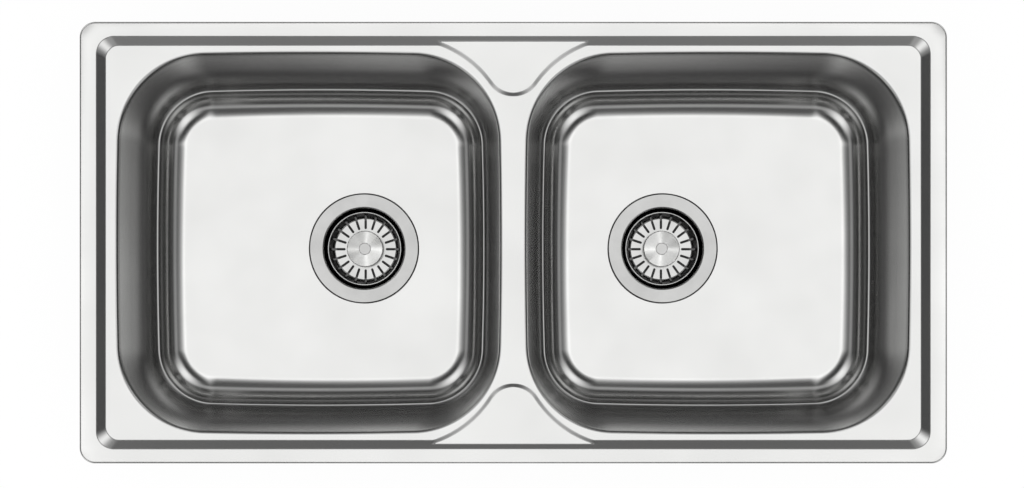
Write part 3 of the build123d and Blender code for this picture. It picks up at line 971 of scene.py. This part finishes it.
    def build(self, finishes: Finishes) -> bpy.types.Object:
        """Makes the bowl in the place of its CAD node.

        Args:
            finishes: The sink's materials.

        Returns:
            The piece.
        """
        rings: list[Loop] = []
        for inset, corner, z in self.wall() + self.pan():
            rings.append([(x, y, z) for x, y in self.plan(inset, corner)])
        rings += self.seat([(x, y) for x, y, _ in rings[-1]])
        points = [p for ring in rings for p in ring]
        faces = ring_faces(len(rings), len(rings[0]))
        piece = new_piece(f"drawn_bowl_{self.side.label}", points, faces)
        thicken(piece, self.sheet)
        finishes.dress(piece, "bowl")
        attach(piece, "root")
        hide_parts(f"bowl_{self.side.label}")
        return piece


@dataclass
class SealBead:
    """Bead of rubber that a waste's flange squeezes out round itself.

    Attributes:
        bowl: The bowl it lies in.
        gap: Room between the bead and the edge of the waste's seat.
        width: Its width.
        height: Its height.
        chamfer: Bevel of its outer edge.
        lift: Room under it.
        count: Points round it.
    """

    bowl: DrawnBowl
    gap: float = 0.1
    width: float = 1.05
    height: float = 1.1
    chamfer: float = 0.3
    lift: float = 0.02
    count: int = 160

    def build(self, finishes: Finishes) -> bpy.types.Object:
        """Makes the bead.

        Args:
            finishes: The sink's materials.

        Returns:
            The piece.
        """
        foot = self.bowl.floor_z - self.bowl.seat_depth
        outer = self.bowl.seat_radius - self.gap
        inner = outer - self.width
        profile = [
            (inner, self.lift),
            (outer, self.lift),
            (outer, self.height - self.chamfer),
            (outer - self.chamfer, self.height),
            (inner, self.height),
        ]
        angles = [math.tau * i / self.count for i in range(self.count)]
        points = [
            (self.bowl.drain_x + r * math.cos(a), r * math.sin(a), foot + up)
            for r, up in profile + profile[:1]
            for a in angles
        ]
        faces = ring_faces(len(profile) + 1, self.count)
        piece = new_piece(f"seal_bead_{self.bowl.side.label}", points, faces)
        finishes.dress(piece, "rubber")
        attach(piece, "root")
        return piece


# --- Pressed top ------------------------------------------------------------------------------

# Lines of the mesh across the band's upper and lower edge, in sizes of their rounding.
BAND_EDGE = (-1.6, -1.3, -1.0, -0.66, -0.33, 0.0, 0.33, 0.66, 1.0)
BELOW_BAND = (1.5, 2.0)
BELOW_RIM = 1.5
# The same where a ledge meets the band, and across a ledge's own two edges.
LEDGE_FOOT = (-0.66, -0.33, 0.0, 0.33, 0.66, 1.0)
LEDGE_EDGE = (-1.8, -1.0, -0.5, 0.0, 0.5, 1.0, 1.8)
# The way down the band is found in steps, each closing this share of the gap that is left.
SETTLE_STEPS = 24
SETTLE_SHARE = 0.6


@dataclass
class Ledge:
    """A raised ledge between the bowls, with two hollow sides that meet in a round nose.

    Attributes:
        end: The long edge it starts from.
        shift: Centre of a hollow side from the centre of the bowl's corner.
        arc: Radius of a hollow side.
        nose: Radius of the nose.
        rise: Its height above the field.
        run: Width of its slope.
        corner_centre: Centre of the bowl's corner, as for the back ledge's right side.
        hollow_steps: Chords in a hollow side.
        nose_steps: Chords in half the nose.
    """

    end: End
    shift: Point
    arc: float = 107.0
    nose: float = 27.0
    rise: float = 2.9
    run: float = 3.2
    corner_centre: Point = (99.9, 101.6)
    hollow_steps: int = 30
    nose_steps: int = 12

    @property
    def hollow_centre(self) -> Point:
        """Centre of the right hollow side, as for the back ledge."""
        return self.corner_centre[0] + self.shift[0], self.corner_centre[1] + self.shift[1]

    @property
    def nose_y(self) -> float:
        """Centre of the nose along Y, as for the back ledge."""
        x, y = self.hollow_centre
        return y + math.sqrt((self.arc + self.nose) ** 2 - x**2)

    def inside(self, x: float, y: float) -> float:
        """Distance inside the ledge's outline, negative outside it.

        Args:
            x: Place along X.
            y: Place along Y.

        Returns:
            The distance.
        """
        x, y = abs(x), y * self.end.value
        centre_x, centre_y = self.hollow_centre
        if x > centre_x:
            return y - centre_y - self.arc
        # The line through both centres meets the outline where the hollow side turns into the nose.
        from_nose = Vector((x, y - self.nose_y))
        joint = Vector((centre_x, centre_y - self.nose_y))
        if from_nose.x * joint.y < from_nose.y * joint.x or from_nose.length < SAME_POINT:
            return math.hypot(x - centre_x, y - centre_y) - self.arc
        return self.nose - from_nose.length

    def line(self, inset: float) -> list[Point]:
        """Outline moved into the ledge.

        Args:
            inset: Distance moved in.

        Returns:
            Points from one end over the nose to the other.
        """
        x, y = self.hollow_centre
        lean = math.atan2(self.nose_y - y, x)
        turn = QUARTER - lean
        hollow = arc_points((x, y), self.arc + inset, QUARTER, turn, self.hollow_steps)
        nose = arc_points((0, self.nose_y), self.nose - inset, -lean, -turn, self.nose_steps)
        half = hollow + nose[1:]
        full = half + [(-px, py) for px, py in reversed(half[:-1])]
        return [(px, py * self.end.value) for px, py in full]


@dataclass
class PressedTop:
    """Rim, sloping band, field and ledges, pressed in one sheet and open over the bowls.

    Attributes:
        bowls: The bowls welded into it.
        sheet: Thickness of its sheet.
        half: Half its length and width.
        corner: Corner radius of its outline.
        rim_z: Height of the rim.
        rim_bend: Radius of the bend to the turned-down edge.
        land: Width of the rim's flat land along X and Y.
        band_run: Width of the band in plan.
        band_drop: Its depth.
        band_corners: Corner radius of its upper and lower edge.
        corner_reach: Places beyond the band, in widths of it, up to which its corners change.
        crease: Size of the rounding of the band's edges.
        step_crease: Size of the rounding of the ledges' edges.
        corner_steps: Chords in a corner.
        rim_steps: Chords in the rim's bend.
        ledges: The ledges between the bowls.
    """

    bowls: list[DrawnBowl]
    sheet: float = 0.8
    half: tuple[float, float] = (430.0, 219.0)
    corner: float = 15.5
    rim_z: float = 6.0
    rim_bend: float = 2.0
    land: tuple[float, float] = (16.5, 14.4)
    band_run: float = 8.5
    band_drop: float = 7.0
    band_corners: tuple[float, float] = (17.5, 13.5)
    corner_reach: tuple[float, float] = (-0.3, 1.3)
    crease: float = 0.6
    step_crease: float = 0.5
    corner_steps: int = 14
    rim_steps: int = 6
    ledges: list[Ledge] = field(
        default_factory=lambda: [Ledge(End.BACK, (9.6, -4.5)), Ledge(End.FRONT, (12.8, -5.5))]
    )

    def corner_at(self, run: float) -> float:
        """Corner radius of the outline at a distance down the band.

        Args:
            run: The distance in plan.

        Returns:
            The radius.
        """
        low, high = self.corner_reach
        upper, lower = self.band_corners
        return upper + (lower - upper) * min(max(run / self.band_run, low), high)

    def band_line(self, run: float) -> list[Point]:
        """Outline at a distance down the band from its upper edge.

        Args:
            run: The distance in plan.

        Returns:
            The outline's points.
        """
        half_x = self.half[0] - self.land[0] - run
        half_y = self.half[1] - self.land[1] - run
        return rounded_rectangle(half_x, half_y, self.corner_at(run), self.corner_steps)

    def run_at(self, x: float, y: float) -> float:
        """Distance down the band at a place in plan.

        Args:
            x: Place along X.
            y: Place along Y.

        Returns:
            The distance from the band's upper edge, negative on the rim.
        """
        u = self.half[0] - self.land[0] - abs(x)
        v = self.half[1] - self.land[1] - abs(y)
        run = min(u, v)
        for _ in range(SETTLE_STEPS):
            corner = self.corner_at(run)
            in_x, in_y = corner - (u - run), corner - (v - run)
            if in_x > 0 and in_y > 0:
                gap = corner - math.hypot(in_x, in_y)
            else:
                gap = min(u, v) - run
            run += gap * SETTLE_SHARE
        return run

    def height(self, x: float, y: float) -> float:
        """Height of the sheet's upper face.

        Args:
            x: Place along X.
            y: Place along Y.

        Returns:
            The height above the worktop.
        """
        run = self.run_at(x, y)
        slope = self.band_drop / self.band_run
        level = self.rim_z - self.band_drop
        for ledge in self.ledges:
            rise = ledge.rise / ledge.run
            soft = self.step_crease * rise
            into = ledge.inside(x, y) if y * ledge.end.value > 0 else -math.inf
            ramp = smooth_max(0.0, (into + ledge.run / 2) * rise, soft)
            level += smooth_min(ramp, ledge.rise, soft)
        soft = self.crease * slope
        band = smooth_min(self.rim_z, self.rim_z - run * slope, soft)
        return smooth_max(band, level, soft)

    def outline(self, grow: float) -> list[Point]:
        """The sheet's outline, moved outwards.

        Args:
            grow: The distance moved.

        Returns:
            The outline's points.
        """
        half_x, half_y = (half + grow for half in self.half)
        return rounded_rectangle(half_x, half_y, self.corner + grow, self.corner_steps)

    def flat_lines(self) -> list[tuple[list[Point], bool]]:
        """Lines in plan that the sheet's mesh follows.

        Returns:
            Each line's points and whether it is closed.
        """
        ledge_foot = self.band_run * (1 - self.ledges[0].rise / self.band_drop)
        places = [(0.0, share) for share in (*BAND_EDGE, BELOW_RIM)]
        places += [(self.band_run, share) for share in BAND_EDGE + BELOW_BAND]
        places += [(ledge_foot, share) for share in LEDGE_FOOT]
        runs = {at + share * self.crease for at, share in places}
        lines = [(self.outline(-self.rim_bend), True)]
        lines += [(self.band_line(run), True) for run in sorted(runs)]
        for ledge in self.ledges:
            for edge in (-ledge.run / 2, ledge.run / 2):
                for share in LEDGE_EDGE:
                    lines.append((ledge.line(edge + share * self.step_crease), False))
        lines += [(bowl.weld_line(), True) for bowl in self.bowls]
        return lines

    def build(self, finishes: Finishes) -> bpy.types.Object:
        """Makes the top in the place of its CAD node.

        Args:
            finishes: The sink's materials.

        Returns:
            The piece.
        """
        flat: list[Vector] = []
        edges: list[tuple[int, int]] = []
        for line, closed in self.flat_lines():
            first = len(flat)
            flat += [Vector(p) for p in line]
            edges += [(first + i, first + i + 1) for i in range(len(line) - 1)]
            if closed:
                edges.append((len(flat) - 1, first))
        plan, _, triangles, _, _, _ = delaunay_2d_cdt(flat, edges, [], 0, SAME_POINT, False)
        mouths = [bowl.weld_line() for bowl in self.bowls]
        kept = []
        for face in triangles:
            middle = sum((plan[i] for i in face), Vector((0, 0))) / len(face)
            if not any(within(middle, mouth) for mouth in mouths):
                kept.append(tuple(face))
        points = [(p.x, p.y, self.height(p.x, p.y)) for p in plan]
        self.turn_down(points, kept)
        piece = new_piece("pressed_top", points, kept)
        thicken(piece, self.sheet)
        finishes.dress(piece, "top")
        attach(piece, "root")
        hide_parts("sink_top")
        return piece

    def turn_down(self, points: Loop, faces: list[tuple[int, ...]]) -> None:
        """Adds the rim's bend and turned-down edge to the flat skin.

        Args:
            points: The skin's points, added to.
            faces: The skin's faces, added to.
        """
        bend = self.rim_bend
        place = {spot(point): i for i, point in enumerate(points)}
        ring = [place[spot(point)] for point in self.outline(-bend)]
        turns = [QUARTER * i / self.rim_steps for i in range(1, self.rim_steps + 1)]
        profile = [(bend * math.sin(turn), bend * (1 - math.cos(turn))) for turn in turns]
        for out, drop in profile + [(bend, self.rim_z)]:
            first = len(points)
            points += [(x, y, self.rim_z - drop) for x, y in self.outline(out - bend)]
            fresh = list(range(first, len(points)))
            for i in range(len(ring)):
                j = (i + 1) % len(ring)
                faces.append((ring[i], fresh[i], fresh[j], ring[j]))
            ring = fresh


def spot(point: Sequence[float]) -> Point:
    """Place in plan to a thousandth of a millimetre, to find the same point again."""
    return round(point[0], 3), round(point[1], 3)


def smooth_max(a: float, b: float, soft: float) -> float:
    """Larger of two heights, rounded where they cross.

    Args:
        a: First height.
        b: Second height.
        soft: Difference at which the rounding starts.

    Returns:
        The rounded height.
    """
    gap = abs(a - b)
    return max(a, b) + (max(soft - gap, 0.0) ** 2 / (4 * soft))


def smooth_min(a: float, b: float, soft: float) -> float:
    """Smaller of two heights, rounded in the same way."""
    return -smooth_max(-a, -b, soft)


def within(point: Vector, ring: list[Point]) -> bool:
    """Tells whether a point is inside a closed ring.

    Args:
        point: The point.
        ring: The ring's points.

    Returns:
        True inside.
    """
    inside = False
    x, y = point
    for (ax, ay), (bx, by) in zip(ring, ring[1:] + ring[:1]):
        if (ay > y) != (by > y) and x < ax + (y - ay) * (bx - ax) / (by - ay):
            inside = not inside
    return inside


# --- Parts that keep their CAD shape ----------------------------------------------------------


@dataclass
class KeptParts:
    """CAD nodes that are shown as they are, with their finish.

    Attributes:
        nodes: The frame's nodes.
        finishes: The sink's materials.
        smooth_angle: Edges sharper than this aren't smoothed.
        same_mm: Corners nearer than this are one.
    """

    nodes: dict[str, bpy.types.Object]
    finishes: Finishes
    smooth_angle: float = math.radians(28)
    same_mm: float = 0.002

    def dress(self, name: str, key: str) -> None:
        """Finishes one node and smooths its round faces.

        Args:
            name: The node.
            key: The finish's key.
        """
        piece = self.nodes[name]
        self.finishes.dress(piece, key)
        piece.data.polygons.foreach_set("use_smooth", [True] * len(piece.data.polygons))
        weld = piece.modifiers.new("weld", "WELD")
        weld.merge_threshold = self.same_mm * MM
        split = piece.modifiers.new("edges", "EDGE_SPLIT")
        split.split_angle = self.smooth_angle

    def wastes(self) -> None:
        """Finishes the strainers, baskets and bodies under the bowls."""
        keys = {
            "strainer_dish": "dish",
            "basket": "basket",
            "basket_knob": "turned",
            "basket_rivet": "strainer",
            "basket_stem": "strainer",
            "basket_seal": "rubber",
            "fixing_screw": "strainer",
            "dish_seal": "rubber",
            "body_seal": "rubber",
            "waste_body": "plastic",
            "threaded_insert": "brass",
            "sound_pad": "pad",
        }
        for side in Side:
            for stem, key in keys.items():
                self.dress(f"{stem}_{side.label}", key)

    def fixings(self) -> None:
        """Finishes the rim seal, the rails and the worktop clips."""
        self.dress("rim_seal", "foam")
        self.dress("clip_nuts", "zinc")
        for end in End:
            for side in Side:
                self.dress(f"rail_{end.label}_{side.label}", "rail")
            for number in range(1, 5):
                for stem in ("clip_screw", "clip_washer", "clip_jaw"):
                    self.dress(f"{stem}_{end.label}_{number}", "zinc")


# --- Studio -----------------------------------------------------------------------------------


class Where(Enum):
    """A part of the ceiling in plan, with the name of the value that is 1 in its middle."""

    CORNERS = "corner"
    FRONT_AND_BACK = "across"
    ENDS = "along"


@dataclass(frozen=True)
class SoftPanel:
    """A soft panel on the studio's walls.

    Attributes:
        where: Where it hangs.
        narrowness: Power of the value that is 1 in its middle.
        levels: Brightness by angle from straight up, in degrees.
    """

    where: Where
    narrowness: float
    levels: tuple[Point, ...]


@dataclass
class Studio:
    """Pale floor, soft overhead light and the camera, with its lengths in metres.

    Attributes:
        floor_z: Height of the floor, under the wastes.
        floor_size: Its side.
        floor_white: Share of the floor that is white by itself, where it is seen.
        camera_at: The camera's place.
        lens: Focal length in millimetres, on a 36 mm sensor.
        shift_px: Offset of the view from straight below the camera, in pixels of the photo.
        sky: Brightness of the ceiling by angle from straight up, in degrees.
        free: Angle in degrees up to which the ceiling is the same all round.
        pull: How much sooner the ceiling darkens beyond that towards the room's corners.
        panels: The soft panels.
        lamp_at: Place of the soft lamp.
        lamp_size: Its side.
        lamp_power: Its power in watts.
    """

    floor_z: float = -0.2295
    floor_size: float = 60.0
    floor_white: float = 0.93
    camera_at: tuple[float, float, float] = (0.0, -0.0787, 1.905)
    lens: float = 67.4
    shift_px: tuple[float, float] = (-1.3, 78.0)
    sky: tuple[Point, ...] = (
        (0.0, 1.7), (8.0, 1.7), (16.0, 1.72), (24.0, 2.3), (31.0, 1.5),
        (39.0, 0.8), (50.0, 0.33), (62.0, 0.12), (90.0, 0.03),
    )
    free: float = 18.0
    pull: float = 3.0
    panels: tuple[SoftPanel, ...] = (
        SoftPanel(
            Where.CORNERS, 3.0, ((42.0, 0.0), (50.0, 1.7), (64.0, 1.7), (76.0, 0.9), (90.0, 0.6))
        ),
        SoftPanel(
            Where.FRONT_AND_BACK, 6.0,
            ((52.0, 0.0), (59.0, 0.7), (66.0, 0.4), (73.0, 0.18), (90.0, 0.08)),
        ),
        SoftPanel(Where.ENDS, 4.0, ((49.0, 0.0), (53.0, 0.4), (60.0, 0.4), (64.0, 0.0))),
    )
    lamp_at: tuple[float, float, float] = (0.0, -0.6, 3.2)
    lamp_size: float = 3.0
    lamp_power: float = 70.0

    def camera(self) -> None:
        """Puts the camera where the photo was taken, looking straight down."""
        data = bpy.data.cameras.new("camera")
        data.lens = self.lens
        data.shift_x = self.shift_px[0] / PHOTO_WIDTH
        data.shift_y = self.shift_px[1] / PHOTO_WIDTH
        data.clip_start = 0.05
        camera = bpy.data.objects.new("camera", data)
        camera.location = self.camera_at
        bpy.context.scene.collection.objects.link(camera)
        bpy.context.scene.camera = camera

    def seen(self, tree: Tree) -> Socket:
        """Tells rays that show the background from rays that only light the object.

        Args:
            tree: The node tree.

        Returns:
            1 for camera, glossy and transmission rays.
        """
        path = add_node(tree, "ShaderNodeLightPath")
        value = path.outputs["Is Camera Ray"]
        for other in ("Is Glossy Ray", "Is Transmission Ray"):
            value = add_node(
                tree, "ShaderNodeMath", {"operation": "MAXIMUM"}, {0: value, 1: path.outputs[other]}
            ).outputs[0]
        return value

    def floor(self) -> None:
        """Makes the pale floor, which keeps the sink's shadow."""
        bpy.ops.mesh.primitive_plane_add(size=self.floor_size, location=(0, 0, self.floor_z))
        floor = bpy.context.object
        floor.name = "floor"
        material = bpy.data.materials.new("floor_pale_paper")
        material.use_nodes = True
        tree = material.node_tree
        tree.nodes.clear()
        paper = add_node(
            tree, "ShaderNodeBsdfDiffuse", {"Color": linear("#F4F4F4"), "Roughness": 0.5}
        )
        glow = add_node(tree, "ShaderNodeEmission", {"Color": linear("#FFFFFF"), "Strength": 1.0})
        share = add_node(
            tree,
            "ShaderNodeMath",
            {"operation": "MULTIPLY", 1: self.floor_white},
            {0: self.seen(tree)},
        )
        mix = add_node(
            tree,
            "ShaderNodeMixShader",
            None,
            {0: share.outputs[0], 1: paper.outputs[0], 2: glow.outputs[0]},
        )
        add_node(tree, "ShaderNodeOutputMaterial", None, {"Surface": mix.outputs[0]})
        floor.data.materials.append(material)

    def directions(self, tree: Tree) -> dict[str, Socket]:
        """Works out where on the ceiling a ray goes.

        Args:
            tree: The node tree.

        Returns:
            Values by name, among them the angle from straight up in radians, the same angle pulled
            towards the corners, and a value that is 1 in the middle of each part of Where.
        """
        place = add_node(tree, "ShaderNodeTexCoord")
        x, y, z = add_node(
            tree, "ShaderNodeSeparateXYZ", None, {0: place.outputs["Generated"]}
        ).outputs
        values = {"x": x, "y": y, "z": z}
        # Each value by name, worked out from numbers and from the values above it.
        sums = {
            "x_square": ("MULTIPLY", "x", "x"),
            "y_square": ("MULTIPLY", "y", "y"),
            "both_squares": ("ADD", "x_square", "y_square"),
            "never_zero": ("MAXIMUM", "both_squares", 1e-6),
            "across": ("DIVIDE", "y_square", "never_zero"),
            "along": ("SUBTRACT", 1.0, "across"),
            # Twice the product over the squares is 1 on the diagonals and 0 on the axes.
            "product": ("MULTIPLY", "x", "y"),
            "product_size": ("ABSOLUTE", "product"),
            "twice": ("MULTIPLY", "product_size", 2.0),
            "corner": ("DIVIDE", "twice", "never_zero"),
            "angle": ("ARCCOSINE", "z"),
            "past_free": ("SUBTRACT", "angle", math.radians(self.free)),
            "beyond": ("MAXIMUM", "past_free", 0.0),
            "extra": ("MULTIPLY", "beyond", "corner"),
            "pulled_angle": ("MULTIPLY_ADD", "extra", self.pull, "angle"),
        }
        for name, (operation, *terms) in sums.items():
            numbers = {i: term for i, term in enumerate(terms) if isinstance(term, float)}
            sockets = {i: values[term] for i, term in enumerate(terms) if isinstance(term, str)}
            values[name] = add_node(
                tree, "ShaderNodeMath", {"operation": operation, **numbers}, sockets
            ).outputs[0]
        return values

    def by_angle(self, tree: Tree, angle: Socket, levels: Sequence[Point]) -> Socket:
        """Brightness by angle from straight up.

        Args:
            tree: The node tree.
            angle: The angle in radians.
            levels: Angle in degrees and brightness of each stop.

        Returns:
            The brightness.
        """
        share = add_node(
            tree, "ShaderNodeMath", {"operation": "DIVIDE", 1: QUARTER}, {0: angle}
        ).outputs[0]
        stops = [(degrees / 90, level) for degrees, level in levels]
        return add_node(tree, "ShaderNodeValToRGB", {"stops": stops}, {0: share}).outputs[0]

    def ceiling(self) -> None:
        """Makes the world: bright straight above, dark at the horizon, with the soft panels."""
        world = bpy.data.worlds.new("studio")
        world.use_nodes = True
        bpy.context.scene.world = world
        tree = world.node_tree
        tree.nodes.clear()
        values = self.directions(tree)
        level = self.by_angle(tree, values["pulled_angle"], self.sky)
        for panel in self.panels:
            narrow = add_node(
                tree,
                "ShaderNodeMath",
                {"operation": "POWER", 1: panel.narrowness},
                {0: values[panel.where.value]},
            ).outputs[0]
            glow = self.by_angle(tree, values["angle"], panel.levels)
            level = add_node(
                tree,
                "ShaderNodeMath",
                {"operation": "MULTIPLY_ADD"},
                {0: glow, 1: narrow, 2: level},
            ).outputs[0]
        light = add_node(tree, "ShaderNodeBackground", {"Strength": 1.0}, {"Color": level})
        add_node(tree, "ShaderNodeOutputWorld", None, {"Surface": light.outputs[0]})

    def soft_top(self) -> None:
        """Hangs a soft square lamp that points at the sink and doesn't show in reflections."""
        data = bpy.data.lights.new("soft_top", "AREA")
        data.size = self.lamp_size
        data.energy = self.lamp_power
        lamp = bpy.data.objects.new("soft_top", data)
        lamp.location = self.lamp_at
        lamp.rotation_euler = (-Vector(self.lamp_at)).to_track_quat("-Z", "Y").to_euler()
        lamp.visible_glossy = False
        lamp.visible_camera = False
        bpy.context.scene.collection.objects.link(lamp)

    def build(self) -> None:
        """Sets up the whole studio."""
        bpy.context.scene.view_settings.view_transform = "Standard"
        self.camera()
        self.floor()
        self.ceiling()
        self.soft_top()


def main() -> None:
    """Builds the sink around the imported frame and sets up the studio."""
    logging.basicConfig(level=logging.INFO, format="%(name)s: %(message)s", stream=sys.stdout)
    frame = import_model()
    finishes = Finishes()
    bowls = [DrawnBowl(side) for side in Side]
    for bowl in bowls:
        bowl.build(finishes)
        SealBead(bowl).build(finishes)
    PressedTop(bowls).build(finishes)
    kept = KeptParts(frame["nodes"], finishes)
    kept.wastes()
    kept.fixings()
    Studio().build()


if __name__ == "__main__":
    main()
